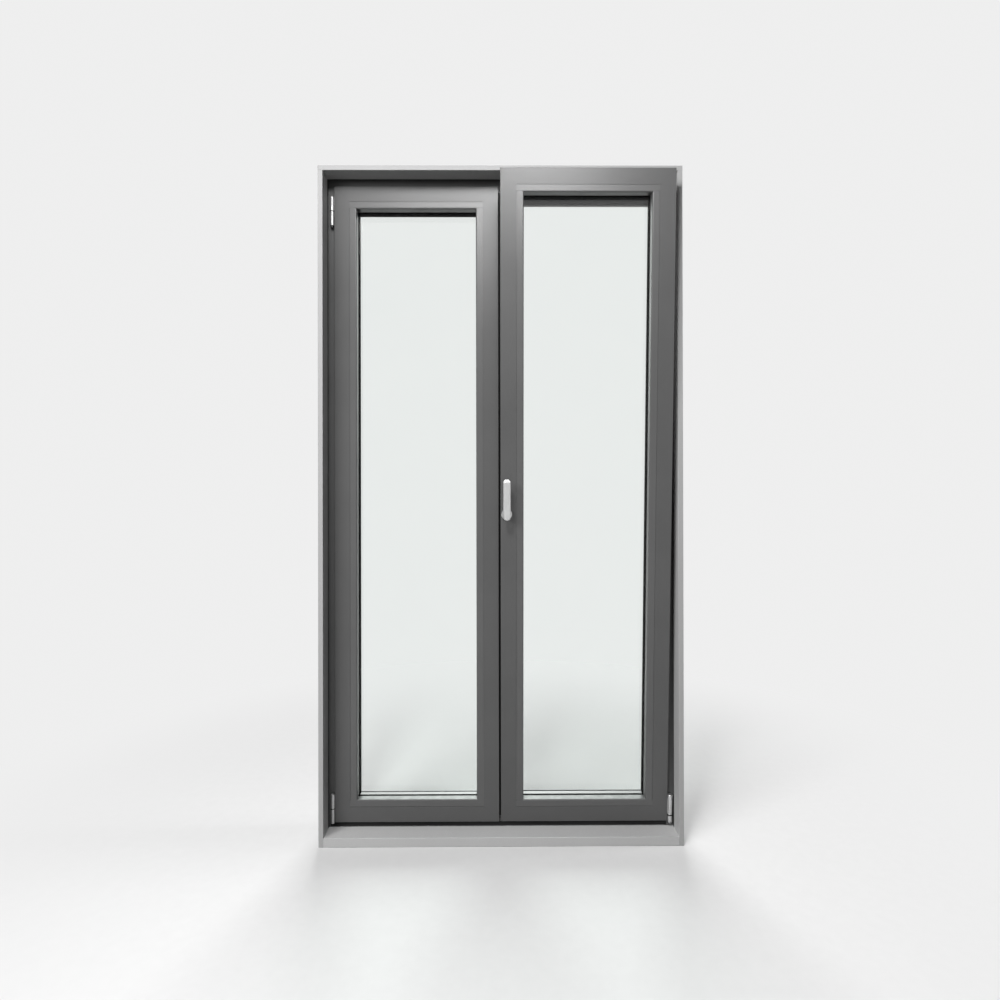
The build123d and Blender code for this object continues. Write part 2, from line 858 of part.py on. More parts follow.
# Handle on the right leaf's meeting stile
out_of_leaf = Axis(right_plane.origin, right_plane.z_dir)
with BuildPart() as handle_rose:
    with BuildSketch(right_plane):
        with Locations((handle_edge, handle_height)):
            Circle(rose_radius)
    extrude(amount=rose_thickness)
    chamfer(handle_rose.faces().sort_by(out_of_leaf)[-1].edges(), length=rose_edge)
keep_part(handle_rose.part, "handle_rose")

lever_top = handle_height - lever_below + lever_length
lever_face = lever_stand_off + lever_thickness
nose_start = right_plane.from_local_coords(
    Vector(handle_edge, lever_top - lever_nose_length, lever_face)
)
nose_slope = right_plane.y_dir * lever_nose_cut + right_plane.z_dir * lever_nose_length

with BuildPart() as handle_lever:
    with BuildSketch(right_plane.offset(lever_stand_off)) as lever_outline:
        with Locations((handle_edge, lever_top)):
            Rectangle(lever_width, lever_length, align=(Align.CENTER, Align.MAX))
        tip_radius = (lever_width - lever_tip_flat) / 2
        fillet(lever_outline.vertices().group_by(Axis.Y)[0], radius=tip_radius)
        fillet(lever_outline.vertices().group_by(Axis.Y)[-1], radius=lever_end_radius)
    extrude(amount=lever_thickness)
    chamfer(handle_lever.faces().sort_by(out_of_leaf)[-1].edges(), length=lever_edge)
    split(bisect_by=Plane(origin=nose_start, z_dir=nose_slope), keep=Keep.BOTTOM)
    with BuildSketch(right_plane.offset(rose_thickness)):
        with Locations((handle_edge, handle_height)):
            Circle(neck_radius)
    extrude(amount=lever_stand_off - rose_thickness + wall, taper=neck_taper)
keep_part(handle_lever.part, "handle_lever")

# Reveal lining: boards that butt on the frame, set back for a shadow gap beside it
groove_line = frame_face - shadow_gap
lining_top = frame_top - lining_thickness


def lining_board(side, name):
    """An upright board on one side, side -1 for the left and 1 for the right."""
    with BuildPart() as board:
        with BuildSketch() as plan:
            with Locations((side * (frame_width - lining_thickness) / 2, lining_front)):
                Rectangle(lining_thickness, reveal_depth, align=(Align.CENTER, Align.MIN))
            with Locations((side * (niche_half + shadow_depth / 2), groove_line)):
                Rectangle(
                    shadow_depth,
                    shadow_gap,
                    align=(Align.CENTER, Align.MIN),
                    mode=Mode.SUBTRACT,
                )
            chamfer(plan.vertices().group_by(Axis.Y)[0], length=lining_edge)
        extrude(amount=lining_top)
    keep_part(board.part, name)


lining_board(-1, "left_lining")
lining_board(1, "right_lining")

with BuildPart() as head_lining:
    with BuildSketch(Plane.YZ.offset(-frame_width / 2)) as head_profile:
        box_section(lining_front, lining_top, reveal_depth, lining_thickness)
        chamfer(head_profile.vertices().group_by(Axis.X)[0], length=lining_edge)
    extrude(amount=frame_width)
    with BuildSketch(Plane.YZ.offset(-niche_half - shadow_depth)):
        box_section(groove_line, lining_top, shadow_gap, shadow_depth)
    extrude(amount=2 * (niche_half + shadow_depth), mode=Mode.SUBTRACT)
keep_part(head_lining.part, "head_lining")

with BuildPart() as sill_board:
    with BuildSketch(Plane.YZ.offset(-niche_half)) as sill_profile:
        box_section(lining_front, 0, reveal_depth, sill_thickness)
        chamfer(sill_profile.vertices().group_by(Axis.X)[0], length=lining_edge)
    extrude(amount=2 * niche_half)
keep_part(sill_board.part, "sill_board")
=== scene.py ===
# %% [markdown]
# # A two-leaf aluminium window, dressed for its picture
# The imported model gives every bar, pane, seal and fitting as a solid in metres. This lesson adds what a
# solid can't hold: the finish of each material, the small fasteners, soft light and the camera. The model
# is loaded once, and its box is kept.

# %% Load the frame
import json
import math

import bmesh
import bpy
import numpy as np
from mathutils import Matrix, Vector

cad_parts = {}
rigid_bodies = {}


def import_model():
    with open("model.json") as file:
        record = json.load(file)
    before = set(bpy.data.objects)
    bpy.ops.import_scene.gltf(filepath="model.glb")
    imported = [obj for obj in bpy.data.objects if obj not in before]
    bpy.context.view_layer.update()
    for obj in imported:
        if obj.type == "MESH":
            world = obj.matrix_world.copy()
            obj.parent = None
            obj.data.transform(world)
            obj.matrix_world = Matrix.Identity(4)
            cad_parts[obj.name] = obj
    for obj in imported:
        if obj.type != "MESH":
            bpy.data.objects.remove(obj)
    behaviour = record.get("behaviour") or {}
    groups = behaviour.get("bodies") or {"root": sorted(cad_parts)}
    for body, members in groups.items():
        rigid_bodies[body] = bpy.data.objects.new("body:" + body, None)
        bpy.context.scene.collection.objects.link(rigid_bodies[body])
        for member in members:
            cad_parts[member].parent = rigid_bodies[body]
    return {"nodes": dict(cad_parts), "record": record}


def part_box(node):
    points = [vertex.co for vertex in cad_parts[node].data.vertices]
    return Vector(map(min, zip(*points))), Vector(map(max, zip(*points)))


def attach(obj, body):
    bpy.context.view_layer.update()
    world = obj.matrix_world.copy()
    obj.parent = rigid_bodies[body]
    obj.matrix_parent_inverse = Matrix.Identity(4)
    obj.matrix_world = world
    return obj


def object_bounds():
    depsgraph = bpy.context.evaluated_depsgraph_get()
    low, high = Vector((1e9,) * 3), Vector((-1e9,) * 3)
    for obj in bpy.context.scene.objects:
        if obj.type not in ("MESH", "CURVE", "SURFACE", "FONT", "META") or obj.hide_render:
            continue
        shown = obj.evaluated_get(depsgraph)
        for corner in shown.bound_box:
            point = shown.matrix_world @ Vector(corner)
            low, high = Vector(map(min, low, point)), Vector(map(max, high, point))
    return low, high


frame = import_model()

cad_box = [list(corner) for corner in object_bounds()]
nodes = frame["nodes"]
print("nodes", len(nodes), "box", [[round(v, 4) for v in corner] for corner in cad_box])

# %% [markdown]
# ## Where the tipped leaf stands
# The right leaf leans into the room about a level line at its bottom bearing. Fasteners and patterns on
# that leaf have to lean with it, so each leaf gets a corner and three axes: across, up along the leaf,
# and out of its face into the room. The lean is read from a packed pane: a thin sheet of known thickness
# that is as deep as its lean makes it.

# %% Axes of the two leaves
pane_thickness = 0.006
pane_low, pane_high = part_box("right_sash_inner_pane")
lean = math.atan2(pane_high.y - pane_low.y - pane_thickness, pane_high.z - pane_low.z)

leaf_height = 2.150
leaf_face = -0.0475
leaf_foot = 0.050
bearing_line = np.array([0.0, -0.0455, 0.070])


def leaf_axes(angle):
    """Across, up and out of a leaf that leans into the room by an angle."""
    return (
        np.array([1.0, 0.0, 0.0]),
        np.array([0.0, -math.sin(angle), math.cos(angle)]),
        np.array([0.0, -math.cos(angle), -math.sin(angle)]),
    )


def leaf_corner(node, angle):
    """The lower left corner of a leaf's face, turned about the bearing line by the leaf's lean."""
    across, up, out = leaf_axes(angle)
    arm = np.array([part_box(node)[0].x, leaf_face, leaf_foot]) - bearing_line
    return bearing_line + across * arm[0] + up * arm[2] - out * arm[1]


leaves = {}
for side, angle, edge_node in (
    ("left", 0.0, "left_sash_hinge_stile"),
    ("right", lean, "right_sash_meeting_stile"),
):
    rail_low, rail_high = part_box(f"{side}_sash_bottom_rail")
    leaves[side] = {
        "lean": angle,
        "corner": leaf_corner(edge_node, angle),
        "width": rail_high.x - rail_low.x,
    }
    print(side, "leaf leans by", round(math.degrees(angle), 2), "degrees, width",
          round(leaves[side]["width"], 4), "corner", np.round(leaves[side]["corner"], 4))

# %% [markdown]
# ## Points on a leaf
# A fastener is placed the way a fitter would measure it: so far across the leaf, so far up, so far back
# from its face. One helper turns such measures into points of the shared frame, whole arrays at a time.

# %% From leaf measures to the shared frame


def on_leaf(side, measures):
    """Points from leaf measures: corner + across * x + up * z - out * depth, for rows of (x, z, depth)."""
    across, up, out = leaf_axes(leaves[side]["lean"])
    measures = np.asarray(measures, float)
    return (
        leaves[side]["corner"]
        + measures[..., 0:1] * across
        + measures[..., 1:2] * up
        - measures[..., 2:3] * out
    )


print("top right corner of the tipped leaf",
      np.round(on_leaf("right", [leaves["right"]["width"], leaf_height, 0.0]), 4))

# %% [markdown]
# ## Laying nodes
# A finish is a small network of nodes. A few helpers keep the cells short. The first adds a node, sets its
# options, and sets or links its inputs; the second opens a node group with named sockets, so that an
# effect such as the grain of a coating is drawn once and used by several finishes with its own values. The
# rest are steps that come back in most finishes.

# %% Helpers for materials and groups


def lay(tree, kind, inputs=None, **options):
    """Add a node; an input given as a socket is linked, any other value is set."""
    node = tree.nodes.new(kind)
    for key, value in options.items():
        setattr(node, key, value)
    for key, value in (inputs or {}).items():
        if isinstance(value, bpy.types.NodeSocket):
            tree.links.new(value, node.inputs[key])
        else:
            node.inputs[key].default_value = value
    return node


def open_group(name, inputs, outputs):
    """A shader node group with float or vector inputs by default value, and float outputs."""
    group = bpy.data.node_groups.new(name, "ShaderNodeTree")
    for label, value in inputs.items():
        kind = "NodeSocketFloat" if isinstance(value, float) else "NodeSocketVector"
        socket = group.interface.new_socket(label, in_out="INPUT", socket_type=kind)
        socket.default_value = value
    for label in outputs:
        group.interface.new_socket(label, in_out="OUTPUT", socket_type="NodeSocketFloat")
    return group, group.nodes.new("NodeGroupInput"), group.nodes.new("NodeGroupOutput")


def ramp(tree, value, low, high, to_low, to_high):
    """A smooth step from to_low at low to to_high at high."""
    step = lay(
        tree,
        "ShaderNodeMapRange",
        {"Value": value, "From Min": low, "From Max": high, "To Min": to_low, "To Max": to_high},
        interpolation_type="SMOOTHSTEP",
    )
    return step.outputs["Result"]


def math_node(tree, operation, first, second=0.5):
    """One sum on two values."""
    node = lay(tree, "ShaderNodeMath", {0: first, 1: second}, operation=operation)
    return node.outputs["Value"]


def new_finish(name, **sockets):
    """A material with its Principled shader; constant values go straight on the shader's sockets."""
    material = bpy.data.materials.new(name)
    material.use_nodes = True
    shader = material.node_tree.nodes["Principled BSDF"]
    for label, value in sockets.items():
        shader.inputs[label.replace("_", " ")].default_value = value
    return material, material.node_tree, shader


def between(tree, mask, dark, light):
    """The colour socket of a mix from a dark to a light colour, each a colour or a socket, by a mask."""
    colour = [c if isinstance(c, bpy.types.NodeSocket) else (*c, 1.0) for c in (dark, light)]
    mix = lay(tree, "ShaderNodeMix", {0: mask, 6: colour[0], 7: colour[1]}, data_type="RGBA")
    return mix.outputs[2]


def grey(value):
    """A neutral colour."""
    return (value, value, value)


def upright_place(tree, origin, lean_angle):
    """Object place measured from an origin, with a lean towards the front turned back upright."""
    place = lay(tree, "ShaderNodeTexCoord").outputs["Object"]
    turned = lay(
        tree,
        "ShaderNodeMapping",
        {"Vector": place, "Location": tuple(origin), "Rotation": (lean_angle, 0.0, 0.0)},
        vector_type="TEXTURE",
    )
    return turned.outputs["Vector"]


def bump_skin(tree, shader, height, strength, distance):
    """Let a height bend the shader's normal."""
    bump = lay(tree, "ShaderNodeBump", {"Height": height, "Strength": strength, "Distance": distance})
    tree.links.new(bump.outputs["Normal"], shader.inputs["Normal"])


def show_mix(tree, share, first, second):
    """Show a mix of two shaders: the first where the share is zero, the second where it is one."""
    mix = lay(tree, "ShaderNodeMixShader", {0: share, 1: first, 2: second})
    tree.links.new(mix.outputs["Shader"], tree.nodes["Material Output"].inputs["Surface"])


print("helpers ready")

# %% [markdown]
# ## The grain of a powder coating
# The bars are sprayed with dry powder and baked. The skin is smooth to the hand, but it keeps a fine
# orange peel of a millimetre or two, and the gloss clouds a little from place to place. Two noises give
# that: a fine one as a height for bump, a slow one as a tone. Object coordinates are in metres, so a
# noise scale of 700 is a grain of about one and a half millimetres.

# %% Group: coating grain


def make_coating_grain():
    """Fine noise as Height, slow noise as Tone, both about 0.5."""
    group, entry, leave = open_group(
        "coating_grain", {"Fine": 700.0, "Slow": 3.0}, ("Height", "Tone")
    )
    place = lay(group, "ShaderNodeTexCoord").outputs["Object"]
    fine = lay(
        group,
        "ShaderNodeTexNoise",
        {"Vector": place, "Scale": entry.outputs["Fine"], "Detail": 2.0, "Roughness": 0.45},
    )
    slow = lay(
        group,
        "ShaderNodeTexNoise",
        {"Vector": place, "Scale": entry.outputs["Slow"], "Detail": 4.0, "Roughness": 0.6},
    )
    group.links.new(fine.outputs["Fac"], leave.inputs["Height"])
    group.links.new(slow.outputs["Fac"], leave.inputs["Tone"])
    return group


coating_grain = make_coating_grain()
grain_sockets = coating_grain.interface.items_tree
print("group", coating_grain.name, "puts out", [s.name for s in grain_sockets if s.in_out == "OUTPUT"])

# %% [markdown]
# ## Dust on ledges
# Indoor dust lies where a surface looks up: on the sill board, the beads' tops and the fittings. The
# upward part of the normal, broken by a noise, is a mask of it.

# %% Group: settled dust


def make_settled_dust():
    """Upward part of the normal, past 0.6, times a blotchy noise and an amount."""
    group, entry, leave = open_group("settled_dust", {"Amount": 0.3}, ("Mask",))
    place = lay(group, "ShaderNodeTexCoord").outputs["Object"]
    normal = lay(group, "ShaderNodeNewGeometry").outputs["Normal"]
    upward = lay(group, "ShaderNodeSeparateXYZ", {"Vector": normal}).outputs["Z"]
    ledge = ramp(group, upward, 0.6, 0.95, 0.0, 1.0)
    blotch = lay(
        group, "ShaderNodeTexNoise", {"Vector": place, "Scale": 45.0, "Detail": 6.0}
    ).outputs["Fac"]
    patchy = math_node(group, "MULTIPLY", ledge, ramp(group, blotch, 0.35, 0.7, 0.25, 1.0))
    amount = math_node(group, "MULTIPLY", patchy, entry.outputs["Amount"])
    group.links.new(amount, leave.inputs["Mask"])
    return group


settled_dust = make_settled_dust()
print("group", settled_dust.name)

# %% [markdown]
# ## Lines left by a die, a brush or a lathe
# Extruded seals, brushed levers and turned barrels all carry fine parallel lines. They are one noise,
# squeezed hard in the direction across the lines and left long in the direction along them. Each finish
# squeezes it with its own Mapping node, so the group only takes the squeezed place.

# %% Group: drawn lines


def make_drawn_lines():
    """Noise over a squeezed place, sharpened about its middle."""
    group, entry, leave = open_group("drawn_lines", {"Vector": (0.0, 0.0, 0.0)}, ("Lines",))
    streak = lay(
        group,
        "ShaderNodeTexNoise",
        {"Vector": entry.outputs["Vector"], "Scale": 1.0, "Detail": 3.0, "Roughness": 0.65},
    ).outputs["Fac"]
    group.links.new(ramp(group, streak, 0.3, 0.7, 0.0, 1.0), leave.inputs["Lines"])
    return group


drawn_lines = make_drawn_lines()
print("group", drawn_lines.name)


def squeezed_lines(tree, scale, turn=(0.0, 0.0, 0.0)):
    """The lines of a finish, its place turned and then squeezed by a scale in each direction."""
    place = lay(tree, "ShaderNodeTexCoord").outputs["Object"]
    turned = lay(tree, "ShaderNodeMapping", {"Vector": place, "Rotation": turn})
    squeezed = lay(tree, "ShaderNodeMapping", {"Vector": turned.outputs["Vector"], "Scale": scale})
    group = lay(tree, "ShaderNodeGroup", node_tree=drawn_lines)
    tree.links.new(squeezed.outputs["Vector"], group.inputs["Vector"])
    return group.outputs["Lines"]


# %% [markdown]
# ## Mitred corners
# Frame and leaves are cut at 45 degrees and pressed together over corner keys, which leaves a hairline on
# each corner's diagonal. On the diagonal the distance to the nearest upright edge equals the distance to
# the nearest level edge, so the line is where these two are the same. The tipped leaf's place is turned
# back upright first.

# %% Group: corner mitre


def make_corner_mitre():
    """One minus a step of |distance to upright edge - distance to level edge|."""
    group, entry, leave = open_group(
        "corner_mitre", {"Vector": (0.0, 0.0, 0.0), "Width": 1.0, "Height": 2.0}, ("Line",)
    )
    place = lay(group, "ShaderNodeSeparateXYZ", {"Vector": entry.outputs["Vector"]})
    inward = []
    for axis, size in (("X", "Width"), ("Z", "Height")):
        near = place.outputs[axis]
        far = math_node(group, "SUBTRACT", entry.outputs[size], near)
        inward.append(math_node(group, "MINIMUM", near, far))
    apart = math_node(group, "ABSOLUTE", math_node(group, "SUBTRACT", *inward))
    group.links.new(ramp(group, apart, 0.00015, 0.0006, 1.0, 0.0), leave.inputs["Line"])
    return group


corner_mitre = make_corner_mitre()
print("group", corner_mitre.name)

# %% [markdown]
# ## Grey coated aluminium
# All bars and beads have the same mid grey satin coating. One function makes the finish from the groups
# for grain, dust and mitre; the bars of the frame and of each leaf get it with their own corner for the
# mitre line, and the beads and the mullion get it without. The beads are small and smooth, so their coat
# flows out glossier and their sides shine where the glass meets them.

# %% Coated finishes
coat_dark = 0.064
coat_light = 0.076
coat_dust = 0.22
mitre_shade = 0.050
dust_colour = grey(0.42)


def coated_finish(name, corner=None, lean_angle=0.0, size=None, gloss=0.0):
    """Satin grey coat: cloudy tone, fine peel, ledge dust, and a hairline at mitred corners."""
    material, tree, shader = new_finish(
        name, Specular_IOR_Level=0.75, Coat_Weight=gloss, Coat_Roughness=0.34
    )
    grain = lay(tree, "ShaderNodeGroup", node_tree=coating_grain)
    dust = lay(tree, "ShaderNodeGroup", {"Amount": coat_dust}, node_tree=settled_dust)
    cloud = ramp(tree, grain.outputs["Tone"], 0.3, 0.7, 0.0, 1.0)
    coat = between(tree, cloud, grey(coat_dark), grey(coat_light))
    height = grain.outputs["Height"]
    if size:
        upright = upright_place(tree, corner, lean_angle)
        mitre = lay(
            tree,
            "ShaderNodeGroup",
            {"Vector": upright, "Width": size[0], "Height": size[1]},
            node_tree=corner_mitre,
        )
        coat = between(tree, mitre.outputs["Line"], coat, grey(mitre_shade))
        height = math_node(tree, "SUBTRACT", height, mitre.outputs["Line"])
    dusty = between(tree, dust.outputs["Mask"], coat, dust_colour)
    tree.links.new(dusty, shader.inputs["Base Color"])
    tree.links.new(ramp(tree, grain.outputs["Tone"], 0.25, 0.75, 0.37, 0.43), shader.inputs["Roughness"])
    bump_skin(tree, shader, height, 0.12, 0.0004)
    return material


frame_low, frame_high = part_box("frame_head")
sill_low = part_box("frame_sill")[0]
frame_corner = (sill_low.x, sill_low.y, sill_low.z)
frame_size = (frame_high.x - frame_low.x, frame_high.z - sill_low.z)
coats = {
    "frame": coated_finish("coat_frame", frame_corner, 0.0, frame_size),
    "plain": coated_finish("coat_plain"),
    "bead": coated_finish("coat_bead", gloss=0.4),
}
for side, leaf in leaves.items():
    coats[side] = coated_finish(
        f"coat_{side}_leaf", leaf["corner"], leaf["lean"], (leaf["width"], leaf_height)
    )
print("coats", sorted(coats), "frame", [round(v, 3) for v in frame_size])

# %% [markdown]
# ## Clear double glazing
# Each leaf holds two sheets of float glass with air between. Float glass is clear with a trace of green,
# almost perfectly smooth, and a little smeared where it was wiped. Light has to pass it freely, or the
# bars behind it would stand in the shade, so shadow rays and soft light see it as clear.

# %% Glass


def glass_finish():
    """Clear glass, wiped in slow smears, that lets shadow and diffuse rays through."""
    material, tree, shader = new_finish("float_glass", IOR=1.5, Transmission_Weight=1.0, Metallic=0.0)
    place = lay(tree, "ShaderNodeTexCoord").outputs["Object"]
    smear = lay(
        tree,
        "ShaderNodeTexNoise",
        {"Vector": place, "Scale": 5.0, "Detail": 5.0, "Roughness": 0.6, "Distortion": 1.5},
    ).outputs["Fac"]
    tree.links.new(ramp(tree, smear, 0.45, 0.8, 0.0, 0.035), shader.inputs["Roughness"])
    tint = between(tree, smear, (0.975, 0.99, 0.982), (0.962, 0.98, 0.972))
    tree.links.new(tint, shader.inputs["Base Color"])
    rays = lay(tree, "ShaderNodeLightPath")
    passing = math_node(tree, "MAXIMUM", rays.outputs["Is Shadow Ray"], rays.outputs["Is Diffuse Ray"])
    clear = lay(tree, "ShaderNodeBsdfTransparent", {"Color": (0.93, 0.95, 0.94, 1.0)})
    show_mix(tree, passing, shader.outputs["BSDF"], clear.outputs["BSDF"])
    return material


float_glass = glass_finish()
print("glass", float_glass.name)

# %% [markdown]
# ## Spacer bars
# A hollow strip holds the two sheets apart. It is rolled with fine lines and pricked with a row of tiny
# holes for the drying beads inside. The holes run along the strip, upright and level alike, so they repeat
# over the sum of x and z. Its sides and its upper run are black, a painted shade, and the lower run is
# bright metal, painted as if lit from above: the upward part of the normal tells the two apart.

# %% Spacer strip
hole_pitch = 0.003


def spacer_finish():
    """Rolled strip, a dark pin hole at every pitch; painted bright lit metal where it looks up, black shade
    elsewhere.
    """
    material, tree, shader = new_finish("spacer_strip", Specular_IOR_Level=0.0)
    lines = squeezed_lines(tree, (4.0, 2600.0, 4.0))
    place = lay(tree, "ShaderNodeTexCoord").outputs["Object"]
    axis = lay(tree, "ShaderNodeSeparateXYZ", {"Vector": place})
    along = math_node(tree, "ADD", axis.outputs["X"], axis.outputs["Z"])
    beat = math_node(tree, "PINGPONG", along, hole_pitch / 2.0)
    prick = ramp(tree, beat, 0.0003, 0.0006, 1.0, 0.0)
    # Painted light: faces that look up are painted as bright lit metal, the rest painted black as shade.
    normal = lay(tree, "ShaderNodeNewGeometry").outputs["Normal"]
    upward = lay(tree, "ShaderNodeSeparateXYZ", {"Vector": normal}).outputs["Z"]
    bare_metal_and_painted_lit = ramp(tree, upward, 0.6, 0.9, 0.0, 1.0)
    metal = between(tree, lines, grey(0.26), grey(0.34))
    holed = between(tree, math_node(tree, "MULTIPLY", prick, 0.45), metal, grey(0.08))
    tree.links.new(between(tree, bare_metal_and_painted_lit, grey(0.008), holed), shader.inputs["Base Color"])
    tree.links.new(bare_metal_and_painted_lit, shader.inputs["Metallic"])
    tree.links.new(ramp(tree, bare_metal_and_painted_lit, 0.0, 1.0, 0.75, 0.4), shader.inputs["Roughness"])
    bump_skin(tree, shader, lines, 0.15, 0.0001)
    return material


spacer_strip = spacer_finish()
print("spacer", spacer_strip.name)

# %% [markdown]
# ## Seals, insulating bars and plastic
# The seals are black rubber drawn through a die, the insulating bars are black plastic with glass fibre,
# and the base profile and end caps are plain dark plastic. All three are dark and rough, with die lines
# along their length. Every one of them lies along a side of the window, so lines that only change with
# depth and fall across x and z slowly run the right way on uprights and on rails.

# %% Dark finishes


def die_drawn_finish(name, dark, light, rough_low, rough_high, fineness, dust_amount):
    """A dark extruded skin: two tones by its die lines, rough, with dust on its ledges."""
    material, tree, shader = new_finish(name, Specular_IOR_Level=0.12)
    lines = squeezed_lines(tree, (6.0, fineness, 6.0))
    dust = lay(tree, "ShaderNodeGroup", {"Amount": dust_amount}, node_tree=settled_dust)
    skin = between(tree, lines, dark, light)
    tree.links.new(between(tree, dust.outputs["Mask"], skin, dust_colour), shader.inputs["Base Color"])
    tree.links.new(ramp(tree, lines, 0.0, 1.0, rough_low, rough_high), shader.inputs["Roughness"])
    bump_skin(tree, shader, lines, 0.25, 0.0002)
    return material


# seal_rubber also dresses the two black strips of painted shade behind the leaves' edges, further on.
seal_rubber = die_drawn_finish("seal_rubber", grey(0.010), grey(0.018), 0.55, 0.7, 1500.0, 0.06)
insulating_bar = die_drawn_finish("insulating_bar", grey(0.012), grey(0.024), 0.5, 0.65, 900.0, 0.1)
base_plastic = die_drawn_finish("base_plastic", grey(0.030), grey(0.042), 0.45, 0.6, 500.0, 0.15)
print("dark finishes", seal_rubber.name, insulating_bar.name, base_plastic.name)

# %% [markdown]
# ## Handle, hinges and steel
# The lever and its rose are satin silver, brushed along the lever. The hinge barrels are turned, so their
# lines go round. The tipped leaf's bearing is the same metal, painted brighter than the other barrels as
# painted light, in place of the sheen that the lamps above give the upper hinge. Stay, lock rod and keeps
# are zinc plated steel: duller, with the cloudy spangle that plating has.

# %% Metal finishes


def silver_finish(name, scale, turn, dark, light, rough_low, rough_high):
    """Bright metal with lines squeezed by a scale; dark lines are also rougher."""
    material, tree, shader = new_finish(name, Metallic=1.0)
    lines = squeezed_lines(tree, scale, turn)
    grain = lay(tree, "ShaderNodeGroup", {"Slow": 40.0}, node_tree=coating_grain)
    worn = math_node(tree, "MULTIPLY", lines, grain.outputs["Tone"])
    tone = ramp(tree, worn, 0.05, 0.6, 0.0, 1.0)
    tree.links.new(between(tree, tone, grey(dark), grey(light)), shader.inputs["Base Color"])
    tree.links.new(ramp(tree, tone, 0.0, 1.0, rough_high, rough_low), shader.inputs["Roughness"])
    bump_skin(tree, shader, lines, 0.1, 0.00008)
    return material


no_turn = (0.0, 0.0, 0.0)
back_upright = (-lean, 0.0, 0.0)
brushed = (2600.0, 2600.0, 30.0)
turned_lines = (20.0, 20.0, 3200.0)
spangle = (260.0, 260.0, 260.0)
handle_satin = silver_finish("handle_satin", brushed, back_upright, 0.60, 0.70, 0.50, 0.60)
hinge_silver = silver_finish("hinge_silver", turned_lines, no_turn, 0.45, 0.55, 0.42, 0.54)
# Painted light: the bearing's copy of the hinge metal is painted brighter than hinge_silver.
bearing_silver_painted_lit = silver_finish("bearing_silver_painted_lit", turned_lines, back_upright, 0.74, 0.84, 0.40, 0.52)
plated_steel = silver_finish("plated_steel", spangle, no_turn, 0.42, 0.58, 0.32, 0.5)
print("metals", handle_satin.name, hinge_silver.name, bearing_silver_painted_lit.name, plated_steel.name)

# %% [markdown]
# ## Painted feet of the hinges
# Only the barrels are silver. The feet that carry them are coated like the bars, the pin that ends the
# upper left hinge wears a black cap, and a thin black washer shows where two knuckles meet. A foot is
# whatever lies further from the barrel's axis than its radius, so one group measures that distance; caps
# and washers are bands of height. The leaning bearing is turned upright first.

# %% Group: hinge feet


def make_hinge_feet():
    """Step of the distance from the axis, sqrt((|x| - across)^2 + y^2), past the barrel's radius."""
    group, entry, leave = open_group(
        "hinge_feet", {"Vector": (0.0, 0.0, 0.0), "Across": 0.57, "Radius": 0.0065}, ("Foot",)
    )
    place = lay(group, "ShaderNodeSeparateXYZ", {"Vector": entry.outputs["Vector"]})
    aside = math_node(
        group, "SUBTRACT", math_node(group, "ABSOLUTE", place.outputs["X"]), entry.outputs["Across"]
    )
    flat = lay(group, "ShaderNodeCombineXYZ", {"X": aside, "Y": place.outputs["Y"]}).outputs["Vector"]
    away = lay(group, "ShaderNodeVectorMath", {0: flat}, operation="LENGTH").outputs["Value"]
    beyond = math_node(group, "SUBTRACT", away, entry.outputs["Radius"])
    group.links.new(ramp(group, beyond, 0.0002, 0.0005, 0.0, 1.0), leave.inputs["Foot"])
    return group


hinge_feet = make_hinge_feet()
band_edge = 0.0003
cap_black = 0.02


def paint_feet(material, lean_angle, across, radius, dark_bands):
    """Coat the feet of a hinge finish, and blacken its barrel in bands, each from one height to another."""
    tree = material.node_tree
    shader = tree.nodes["Principled BSDF"]
    silver = shader.inputs["Base Color"].links[0].from_socket
    upright = upright_place(tree, bearing_line, lean_angle)
    feet = lay(
        tree,
        "ShaderNodeGroup",
        {"Vector": upright, "Across": across, "Radius": radius},
        node_tree=hinge_feet,
    )
    height = lay(tree, "ShaderNodeSeparateXYZ", {"Vector": upright}).outputs["Z"]
    bare_metal_and_painted_lit = math_node(tree, "SUBTRACT", 1.0, feet.outputs["Foot"])
    skin = between(tree, feet.outputs["Foot"], silver, grey(coat_light))
    for dark_from, dark_to in dark_bands:
        clear = math_node(
            tree,
            "MAXIMUM",
            ramp(tree, height, dark_from - band_edge, dark_from, 1.0, 0.0),
            ramp(tree, height, dark_to, dark_to + band_edge, 0.0, 1.0),
        )
        skin = between(tree, clear, grey(cap_black), skin)
        bare_metal_and_painted_lit = math_node(tree, "MULTIPLY", bare_metal_and_painted_lit, clear)
    tree.links.new(skin, shader.inputs["Base Color"])
    tree.links.new(bare_metal_and_painted_lit, shader.inputs["Metallic"])


def barrel_span(node):
    """Lowest and highest level of a hinge, measured from the bearing line."""
    return [corner.z - bearing_line[2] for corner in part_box(node)]


pin_cap = 0.007
washer = 0.0013
barrel_radius, barrel_across = 0.0065, 0.5695
bearing_radius, bearing_across = 0.0083, 0.5708
cap_foot, top_end = barrel_span("left_top_hinge")
cap_end = cap_foot + pin_cap
washer_levels = [(cap_end + top_end) / 2.0, sum(barrel_span("left_bottom_hinge")) / 2.0]
left_bands = [(level - washer, level + washer) for level in washer_levels] + [(cap_foot, cap_end)]
paint_feet(hinge_silver, 0.0, barrel_across, barrel_radius, left_bands)
paint_feet(bearing_silver_painted_lit, lean, bearing_across, bearing_radius, [(-washer, 2.0 * washer)])
print("group", hinge_feet.name, "black bands", np.round(left_bands, 4).tolist())

# %% [markdown]
# ## The weave of linen laminate
# The reveal is lined with light grey boards whose skin is pressed like linen: threads about a millimetre
# apart in two directions, each thread of uneven thickness. On an upright board the threads run along y
# and z, on the sill and the head along x and y. Three sine waves over x, y and z, bent by a noise and
# multiplied, give threads on every face without choosing one.

# %% Group: linen weave


